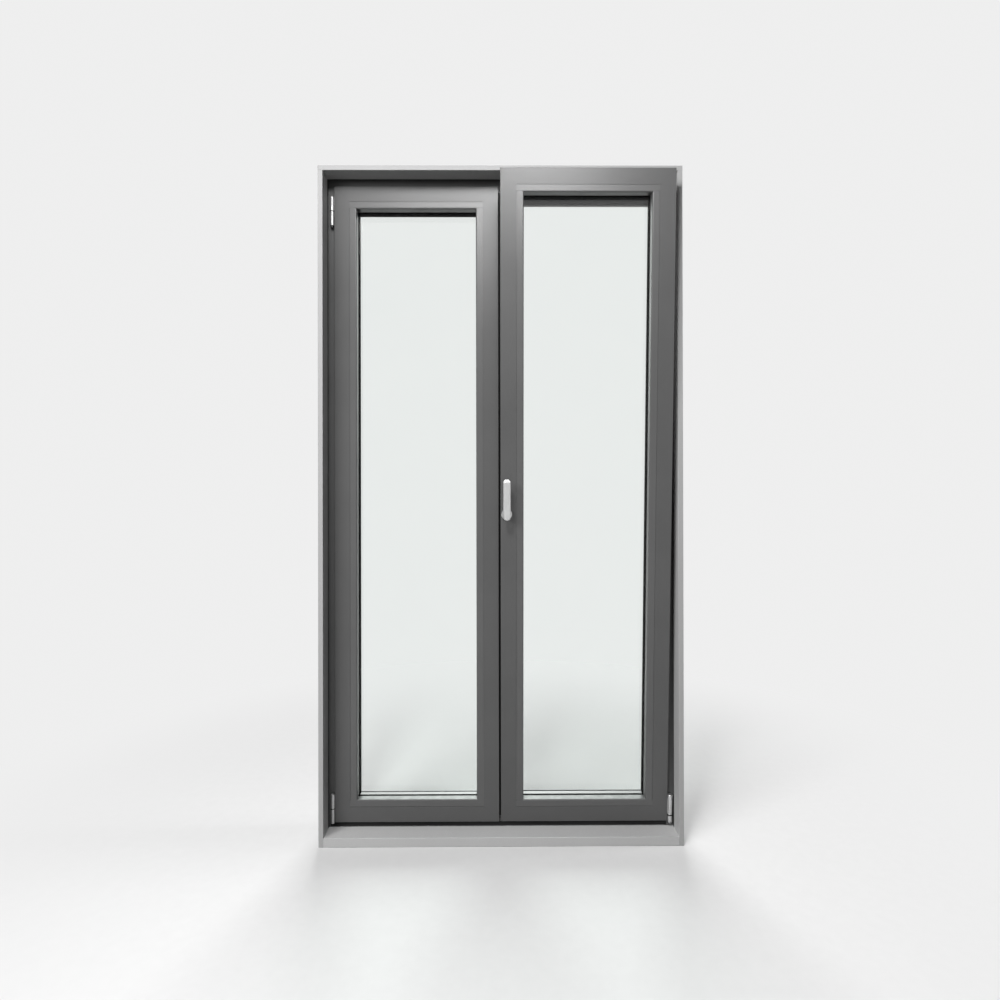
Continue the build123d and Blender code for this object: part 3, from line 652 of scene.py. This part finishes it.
def make_linen_weave():
    """Product of three bent sine waves, each between 0.6 and 1."""
    group, entry, leave = open_group("linen_weave", {"Scale": 280.0}, ("Weave",))
    place = lay(group, "ShaderNodeTexCoord").outputs["Object"]
    threads = []
    for direction in ("X", "Y", "Z"):
        wave = lay(
            group,
            "ShaderNodeTexWave",
            {
                "Vector": place, "Scale": entry.outputs["Scale"], "Distortion": 1.6,
                "Detail": 2.0, "Detail Scale": 0.8,
            },
            bands_direction=direction,
        )
        threads.append(ramp(group, wave.outputs["Fac"], 0.0, 1.0, 0.6, 1.0))
    weave = math_node(group, "MULTIPLY", math_node(group, "MULTIPLY", *threads[:2]), threads[2])
    group.links.new(weave, leave.inputs["Weave"])
    return group


linen_weave = make_linen_weave()
print("group", linen_weave.name)

# %% [markdown]
# ## Lining boards and sill board
# The sill board is the same board as the linings, painted a paler grey as painted light. Beside the frame
# the linings step back into a narrow gap whose faces are painted near black, a painted shade for the shadow
# in that recess: it is whatever lies beyond the niche's sides or top and behind the line where the step
# begins.

# %% Laminates
niche_half = 0.584
niche_top = 2.222
gap_line = -0.0505
gap_painted_shade = 0.012
board_dust = 0.12


def laminate_finish(name, dark, light):
    """Two greys by thread and cloud, painted shade near black in the gap, with dust on what looks up."""
    material, tree, shader = new_finish(name, Specular_IOR_Level=0.4)
    weave = lay(tree, "ShaderNodeGroup", node_tree=linen_weave).outputs["Weave"]
    grain = lay(tree, "ShaderNodeGroup", {"Slow": 5.0}, node_tree=coating_grain)
    dust = lay(tree, "ShaderNodeGroup", {"Amount": board_dust}, node_tree=settled_dust)
    thread_part = math_node(tree, "MULTIPLY", ramp(tree, weave, 0.25, 1.0, 0.0, 1.0), 0.6)
    cloud_part = math_node(tree, "MULTIPLY", grain.outputs["Tone"], 0.4)
    cloudy = math_node(tree, "ADD", thread_part, cloud_part)
    skin = between(tree, cloudy, grey(dark), grey(light))
    place = lay(tree, "ShaderNodeTexCoord").outputs["Object"]
    axis = lay(tree, "ShaderNodeSeparateXYZ", {"Vector": place})
    # Painted shade: the step's gap beside the frame is painted near black, the shadow inside the recess.
    beside = math_node(tree, "SUBTRACT", math_node(tree, "ABSOLUTE", axis.outputs["X"]), niche_half)
    above = math_node(tree, "SUBTRACT", axis.outputs["Z"], niche_top)
    sunk = ramp(tree, math_node(tree, "MAXIMUM", beside, above), 0.0002, 0.0008, 0.0, 1.0)
    behind = ramp(tree, axis.outputs["Y"], gap_line - 0.0004, gap_line + 0.0002, 0.0, 1.0)
    skin = between(tree, math_node(tree, "MULTIPLY", sunk, behind), skin, grey(gap_painted_shade))
    tree.links.new(between(tree, dust.outputs["Mask"], skin, dust_colour), shader.inputs["Base Color"])
    tree.links.new(ramp(tree, weave, 0.25, 1.0, 0.62, 0.48), shader.inputs["Roughness"])
    bump_skin(tree, shader, weave, 0.3, 0.0002)
    return material


lining_laminate = laminate_finish("lining_laminate", 0.37, 0.47)
# Painted light: the sill's copy of the same board is painted lighter than the linings' copy.
sill_painted_lit_laminate = laminate_finish("sill_painted_lit_laminate", 0.47, 0.59)
print("laminates", lining_laminate.name, sill_painted_lit_laminate.name)

# %% [markdown]
# ## Dressing the solids
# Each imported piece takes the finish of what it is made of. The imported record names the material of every
# piece, so a table from material to finish is enough for most. The coated bars are told apart by their
# names, because each leaf has its own mitre lines, and two pieces have a finish of their own.

# %% Give every solid its finish
finishes = {
    "glass": float_glass,
    "spacer_metal": spacer_strip,
    "seal_rubber": seal_rubber,
    "insulating_bar": insulating_bar,
    "lining_board": lining_laminate,
    "handle_metal": handle_satin,
    "hinge_metal": hinge_silver,
    "stay_steel": plated_steel,
    "base_plastic": base_plastic,
}


def coat_of(name):
    """Bars of the frame and of each leaf have mitres; beads and the mullion don't."""
    if name.startswith("frame_"):
        return coats["frame"]
    if name.endswith("_bead"):
        return coats["bead"]
    if name.endswith(("_stile", "_rail")):
        return coats[name.split("_")[0]]
    return coats["plain"]


own_finish = {"right_bottom_hinge": bearing_silver_painted_lit, "sill_board": sill_painted_lit_laminate}
dressed = {}
for piece in frame["record"]["subparts"]:
    name = piece["node"]
    finish = own_finish.get(name) or finishes.get(piece["material_slot"]) or coat_of(name)
    nodes[name].data.materials.clear()
    nodes[name].data.materials.append(finish)
    dressed[name] = finish.name
print("dressed", len(dressed), "of", len(nodes), "solids")

# %% [markdown]
# ## A screw head as a surface
# Small fasteners are what a stand-in lacks. A screw head is a height over a disc: a flat dome that falls
# off at its rim, less the recess that a driver fits. Written over radius and angle, one function gives a
# cross recess for the screws and a six-sided one for the hinges' set screws. Many heads are made at once:
# the grid of one head is carried to each place and turned to its axis.

# %% Turned heads from a grid
recess_depth = 0.85
recess_edge = 0.05
cross_arm, cross_reach, cross_end = 0.17, 0.62, 0.06
six_side_reach = 0.5
rim_drop = 0.2


def head_grid(radius, height, recess, rings=14, spokes=48):
    """Radius, angle and height of a head: height * (1 - s^4), less the recess mask times its depth."""
    share = np.concatenate([np.linspace(0.0, 1.0, rings), [1.0]])
    angle = np.linspace(0.0, 2.0 * np.pi, spokes, endpoint=False)
    share, angle = np.meshgrid(share, angle, indexing="ij")
    across, along = share * np.cos(angle), share * np.sin(angle)
    if recess == "cross":
        arm = np.minimum(np.abs(across), np.abs(along))
        mask = np.clip((cross_arm - arm) / recess_edge, 0.0, 1.0)
        mask = mask * np.clip((cross_reach - share) / cross_end, 0.0, 1.0)
    elif recess == "six sides":
        side = np.cos((angle % (np.pi / 3.0)) - np.pi / 6.0) * share
        mask = np.clip((six_side_reach - side) / recess_edge, 0.0, 1.0)
    else:
        mask = np.zeros_like(share)
    level = height * (1.0 - share**4) * (1.0 - recess_depth * mask)
    level[-1] = -rim_drop * height
    return share * radius, angle, level


def heads_at(places, axes, grid):
    """Points of all heads: place + radius * (cos * side + sin * other) + level * axis.

    One axis serves all heads, or each has its own.
    """
    radius, angle, level = grid
    axes = np.broadcast_to(np.asarray(axes, float), np.shape(places))
    axes = axes / np.linalg.norm(axes, axis=-1, keepdims=True)
    helper = np.where(np.abs(axes[:, :1]) < 0.9, [[1.0, 0.0, 0.0]], [[0.0, 1.0, 0.0]])
    side = np.cross(helper, axes)
    side = side / np.linalg.norm(side, axis=-1, keepdims=True)
    other = np.cross(axes, side)
    turned = (
        np.cos(angle)[None, ..., None] * side[:, None, None]
        + np.sin(angle)[None, ..., None] * other[:, None, None]
    )
    return (
        np.asarray(places, float)[:, None, None]
        + radius[None, ..., None] * turned
        + level[None, ..., None] * axes[:, None, None]
    )


def grid_quads(rows, columns, wrap_rows):
    """Corner numbers of the quads of a grid whose columns close on themselves."""
    row, column = np.meshgrid(
        np.arange(rows if wrap_rows else rows - 1), np.arange(columns), indexing="ij"
    )
    down, right = (row + 1) % rows, (column + 1) % columns
    corners = [(row, column), (down, column), (down, right), (row, right)]
    return np.stack([r * columns + c for r, c in corners], axis=-1).reshape(-1, 4)


def add_surface(name, points, finish, wrap_rows=False, sharp=math.radians(40.0)):
    """A mesh from copies of a grid, doubles merged and normals turned outwards, riding on the window."""
    copies, rows, columns, _ = points.shape
    quads = grid_quads(rows, columns, wrap_rows)
    offset = np.arange(copies)[:, None, None] * rows * columns
    faces = (quads[None] + offset).reshape(-1, 4)
    mesh = bpy.data.meshes.new(name)
    mesh.from_pydata(points.reshape(-1, 3).tolist(), [], faces.tolist())
    shell = bmesh.new()
    shell.from_mesh(mesh)
    bmesh.ops.remove_doubles(shell, verts=shell.verts, dist=1e-7)
    bmesh.ops.recalc_face_normals(shell, faces=shell.faces)
    shell.to_mesh(mesh)
    shell.free()
    mesh.polygons.foreach_set("use_smooth", np.ones(len(mesh.polygons), bool))
    mesh.set_sharp_from_angle(angle=sharp)
    mesh.materials.append(finish)
    piece = bpy.data.objects.new(name, mesh)
    bpy.context.scene.collection.objects.link(piece)
    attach(piece, "root")
    print(name, "faces", len(mesh.polygons))


def spots(*measures):
    """Rows of three measures; a single number is repeated in every row."""
    return np.stack(np.broadcast_arrays(*measures), axis=-1)


print("head grid", head_grid(0.003, 0.001, "cross")[0].shape)

# %% [markdown]
# ## Screws of the lock rod and its keeps
# The lock rod slides in a groove in the tipped leaf's edge and is held by a row of flat screws. The keeps
# on the mullion are plates with one screw near each end. Both rows show in the gap between the leaves.

# %% Lock screws
rod_surface = 0.0225
groove_middle = 0.017
rod_screw_levels = np.array([0.19, 0.47, 0.78, 1.37, 1.68, 1.96])
rod_screw = head_grid(0.0034, 0.0008, "cross")
rod_places = on_leaf("right", spots(rod_surface, rod_screw_levels, groove_middle))
rod_heads = heads_at(rod_places, [-1.0, 0.0, 0.0], rod_screw)
add_surface("lock_rod_screws", rod_heads, plated_steel)

keep_low, keep_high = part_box("lock_keeps")
keep_count = 3
keep_length = 0.060
keep_plate = 0.003
keep_screw_reach = 0.0245
keep_screw = head_grid(0.0032, 0.0009, "cross")
keep_levels = np.linspace(keep_low.z + keep_length / 2, keep_high.z - keep_length / 2, keep_count)
screw_levels = (keep_levels[:, None] + np.array([-keep_screw_reach, keep_screw_reach])).ravel()
keep_places = spots(keep_low.x + keep_plate, (keep_low.y + keep_high.y) / 2, screw_levels)
keep_heads = heads_at(keep_places, [1.0, 0.0, 0.0], keep_screw)
add_surface("lock_keep_screws", keep_heads, plated_steel)

# %% [markdown]
# ## Rivets of the stay and set screws of the hinges
# The stay arm is riveted at its eye and where it meets the slide, and has two rivets between that hold
# its spring. Each hinge barrel has a set screw with six-sided recess in its upper end, which lifts the
# leaf when it is turned.

# %% Rivets and set screws
straight_up = [0.0, 0.0, 1.0]
eye = np.array([barrel_across, bearing_line[1]])
eye_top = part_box("stay_arm")[1].z
eye_rise = 0.004
arm_length = 0.380
slide_drop = 0.025
rivet = head_grid(0.0042, 0.0014, "none")
slide_seat = on_leaf("right", [0.0, leaf_height - slide_drop, groove_middle])
reach = slide_seat[1] - eye[1]
slide_end = np.array([eye[0] - math.sqrt(arm_length**2 - reach**2), slide_seat[1]])
shares = np.array([0.22, 0.58, 1.0])
rivet_spots = eye + shares[:, None] * (slide_end - eye)
rivet_places = spots(rivet_spots[:, 0], rivet_spots[:, 1], eye_top - eye_rise)
rivet_places = np.concatenate([rivet_places, [[*eye, eye_top]]])
add_surface("stay_rivets", heads_at(rivet_places, straight_up, rivet), plated_steel)

hinge_tops = []
for name in ("left_top_hinge", "left_bottom_hinge"):
    low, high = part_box(name)
    hinge_tops.append([low.x + barrel_radius, bearing_line[1], high.z])
bearing_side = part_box("right_bottom_hinge")[1].x
bearing_length = 0.070
bearing_axis = leaf_axes(lean)[1]
bearing_foot = np.array([bearing_side - bearing_radius, bearing_line[1], bearing_line[2]])
hinge_tops.append(bearing_foot + bearing_length * bearing_axis)
set_screw = head_grid(0.0034, 0.0009, "six sides")
set_heads = heads_at(hinge_tops, [straight_up, straight_up, bearing_axis], set_screw)
add_surface("hinge_set_screws", set_heads, hinge_silver)

# %% [markdown]
# ## The soft lip of the glazing seals
# Where a bead meets the glass, the seal shows as a small round lip pressed on the pane. It is a round
# profile carried once round the pane's opening; at a corner each point of the profile moves in from both
# edges alike, which is what a mitre is. Each leaf has a lip indoors and one outdoors.

# %% Glazing lips


def lip_ring(side, middle, depth, lip_radius, points=20):
    """Round profile at an inset from the leaf's edges, carried through the four mitred corners."""
    angle = np.linspace(0.0, 2.0 * np.pi, points, endpoint=False)
    inset = middle + lip_radius * np.cos(angle)
    back = depth + lip_radius * np.sin(angle)
    width = leaves[side]["width"]
    corners = np.array([[0.0, 0.0], [1.0, 0.0], [1.0, 1.0], [0.0, 1.0]])
    measures = np.stack(
        [
            corners[:, :1] * (width - inset) + (1.0 - corners[:, :1]) * inset,
            corners[:, 1:] * (leaf_height - inset) + (1.0 - corners[:, 1:]) * inset,
            np.broadcast_to(back, (4, points)),
        ],
        axis=-1,
    )
    return on_leaf(side, measures)


inner_lip = (0.0749, 0.0293, 0.0016)
outer_lip = (0.0738, 0.0617, 0.0030)
for side in leaves:
    rings = np.stack([lip_ring(side, *lip) for lip in (inner_lip, outer_lip)])
    add_surface(f"{side}_glazing_lips", rings, seal_rubber, wrap_rows=True)

# %% [markdown]
# ## Black strips of painted shade behind the leaves' edges
# Where the two leaves meet, a black strip on the mullion closes the slit between their edges, and a second
# one on the frame lies under their lower edges; both are painted shade, standing in for the shadow there.
# The section of a strip is a low arch, drawn as an ellipse half sunk in the face behind it. It runs
# straight from end to end and shrinks to a point there, which closes it.

# %% Meeting shade strip and lower shade strip


def strip_grid(start, end, across, half_width, half_depth, points=24):
    """Ellipse about each station, width * cos * across + depth * sin * y, small at the two ends."""
    angle = np.linspace(0.0, 2.0 * np.pi, points, endpoint=False)
    ring = half_width * np.cos(angle)[:, None] * np.asarray(across)
    ring = ring + half_depth * np.sin(angle)[:, None] * np.array([0.0, 1.0, 0.0])
    stations = np.stack([start, start, end, end])
    sizes = np.array([0.0, 1.0, 1.0, 0.0])
    return (stations[:, None] + sizes[:, None, None] * ring)[None]


frame_face = -0.0375
mullion_low, mullion_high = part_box("meeting_mullion")
strip_margin = 0.006
slit_middle = -0.004
slit_ends = (mullion_low.z + strip_margin, mullion_high.z - strip_margin)
# Painted shade: a black strip in the slit between the leaves, where it lies in shadow.
meeting_ends = [[slit_middle, frame_face, level] for level in slit_ends]
meeting_grid = strip_grid(*meeting_ends, [1.0, 0.0, 0.0], 0.0034, 0.0016)
add_surface("meeting_strip", meeting_grid, seal_rubber)
# Painted shade: a black strip on the frame under the leaves, where their lower edges cast shadow.
lower_level = 0.0402
lower_ends = [[across, frame_face, lower_level] for across in (-0.578, 0.560)]
lower_grid = strip_grid(*lower_ends, [0.0, 0.0, 1.0], 0.0072, 0.0022)
add_surface("lower_strip", lower_grid, seal_rubber)

# %% [markdown]
# ## Floor and background
# A plain pale floor carries the window and its shadow. Close to the window it is a lit surface; further
# out it melts into the pale background, so that no horizon cuts through the glass. The background is only
# what the camera, mirrors and glass see; a dimmer grey lights the window from all sides.

# %% Floor and world
pale = 0.86
floor_dark, floor_light = 0.66, 0.70
bounce_tone = 0.16
fade_from, fade_to = 0.7, 2.2


def backdrop_rays(tree):
    """One for camera, glossy and transmitted rays."""
    rays = lay(tree, "ShaderNodeLightPath").outputs
    mirrored = math_node(tree, "MAXIMUM", rays["Is Glossy Ray"], rays["Is Transmission Ray"])
    return math_node(tree, "MAXIMUM", rays["Is Camera Ray"], mirrored)


def floor_finish():
    """Lit pale floor near the window, background colour further out."""
    material, tree, shader = new_finish("pale_floor", Roughness=0.8)
    place = lay(tree, "ShaderNodeTexCoord").outputs["Object"]
    speck = lay(tree, "ShaderNodeTexNoise", {"Vector": place, "Scale": 30.0, "Detail": 4.0})
    lit = between(tree, speck.outputs["Fac"], grey(floor_dark), grey(floor_light))
    bounced = lay(tree, "ShaderNodeLightPath").outputs["Is Diffuse Ray"]
    tree.links.new(between(tree, bounced, lit, grey(bounce_tone)), shader.inputs["Base Color"])
    away = lay(tree, "ShaderNodeVectorMath", {0: place}, operation="LENGTH").outputs["Value"]
    far = ramp(tree, away, fade_from, fade_to, 0.0, 1.0)
    glow = lay(tree, "ShaderNodeEmission", {"Color": (*grey(pale), 1.0), "Strength": 1.0})
    seen = math_node(tree, "MULTIPLY", far, backdrop_rays(tree))
    show_mix(tree, seen, shader.outputs["BSDF"], glow.outputs["Emission"])
    return material


floor_half = 40.0
floor_drop = 0.0004
floor_mesh = bpy.data.meshes.new("studio_floor")
east, north = np.meshgrid([-floor_half, floor_half], [-floor_half, floor_half])
floor_points = spots(east.ravel(), north.ravel(), cad_box[0][2] - floor_drop)
floor_mesh.from_pydata(floor_points.tolist(), [], [(0, 1, 3, 2)])
floor_mesh.materials.append(floor_finish())
studio_floor = bpy.data.objects.new("studio_floor", floor_mesh)
bpy.context.scene.collection.objects.link(studio_floor)

fill_level = 0.05
studio_world = bpy.data.worlds.new("studio_world")
studio_world.use_nodes = True
bpy.context.scene.world = studio_world
world_tree = studio_world.node_tree
level = lay(
    world_tree,
    "ShaderNodeMapRange",
    {"Value": backdrop_rays(world_tree), "To Min": fill_level, "To Max": pale},
)
world_tree.links.new(level.outputs["Result"], world_tree.nodes["Background"].inputs["Strength"])
world_tree.nodes["Background"].inputs["Color"].default_value = (*grey(1.0), 1.0)
print("floor and world", pale, fill_level)

# %% [markdown]
# ## Soft lamps
# The light comes from above, as under a ceiling. A wide lamp far off at the left fills the front and
# leaves the left side of the reveal in shade, and a nearer one overhead drops the handle's shadow below it.
# Neither is wanted as a bright patch in the panes, so mirrors don't see them; what the satin bars mirror
# are two small lamps above the camera, which make the sheen at the top. A large lamp far outdoors, as high
# as open sky, shines through the glass onto the beads' edges, and a weak one keeps the window's right side
# from going black. The lamps that are mirrored shine on every piece but the panes.

# %% Lamps
all_but_panes = bpy.data.collections.new("all_but_panes")
for piece in bpy.data.objects:
    if piece.type == "MESH" and not piece.name.endswith("_pane"):
        all_but_panes.objects.link(piece)


def soft_lamp(name, place, target, width, height, watts, mirrored=True, spread=True):
    """A rectangular lamp that looks at a target; it may be left out of mirrors or of dull surfaces.

    A lamp that is mirrored shines on everything but the panes.
    """
    lamp = bpy.data.lights.new(name, "AREA")
    lamp.shape = "RECTANGLE"
    lamp.size, lamp.size_y, lamp.energy = width, height, watts
    holder = bpy.data.objects.new(name, lamp)
    bpy.context.scene.collection.objects.link(holder)
    holder.location = place
    aim = Vector(target) - Vector(place)
    holder.rotation_euler = aim.to_track_quat("-Z", "Y").to_euler()
    holder.visible_camera = False
    holder.visible_transmission = False
    holder.visible_glossy = mirrored
    holder.visible_diffuse = spread
    if mirrored:
        holder.light_linking.receiver_collection = all_but_panes


soft_lamp("left_sheen_lamp", (-0.22, -1.25, 2.98), (-0.1, 0.0, 1.6), 0.8, 0.4, 13.0, spread=False)
soft_lamp("right_sheen_lamp", (0.26, -1.25, 2.74), (0.2, 0.0, 1.6), 0.5, 0.3, 8.0, spread=False)
soft_lamp("ceiling_lamp", (-0.5, -2.0, 3.0), (-0.2, -0.5, 0.0), 0.45, 0.45, 50.0, mirrored=False)
soft_lamp("room_lamp", (-3.5, -4.0, 2.9), (0.0, -1.5, -1.0), 2.6, 2.0, 270.0, mirrored=False)
soft_lamp("outdoor_lamp", (0.0, 11.0, 5.9), (0.0, 0.0, 0.6), 7.5, 4.5, 1300.0)
soft_lamp("side_lamp", (3.6, 0.05, 2.2), (0.6, 0.0, 1.1), 0.5, 1.6, 60.0, mirrored=False)

# %% [markdown]
# ## The camera
# The picture was taken from indoors at chest height, almost square on, with a wide lens close by. Place
# and angles are those at which the corners of frame, leaves and reveal fall where the picture has them.
# The camera turns left or right and up or down first, and rolls about its own view last.

# %% Camera
picture_width = 1000.0
focal_pixels = 594.05
yaw, pitch, roll = 0.0058, 0.0021, -0.0019
camera_place = (-0.0143, -2.0583, 1.1333)
eye_data = bpy.data.cameras.new("window_camera")
eye_data.sensor_width = 36.0
eye_data.lens = eye_data.sensor_width * focal_pixels / picture_width
window_camera = bpy.data.objects.new("window_camera", eye_data)
bpy.context.scene.collection.objects.link(window_camera)
window_camera.matrix_world = (
    Matrix.Translation(camera_place)
    @ Matrix.Rotation(-yaw, 4, "Z")
    @ Matrix.Rotation(math.pi / 2 + pitch, 4, "X")
    @ Matrix.Rotation(roll, 4, "Z")
)
bpy.context.scene.camera = window_camera
bpy.context.scene.view_settings.view_transform = "Standard"
print("lens", round(eye_data.lens, 3), "mm")

# %% [markdown]
# ## Last update of the scene
# Fasteners and lips sit inside the window's own box. The last cell only updates the scene.

# %% Update the scene and finish
bpy.context.view_layer.update()
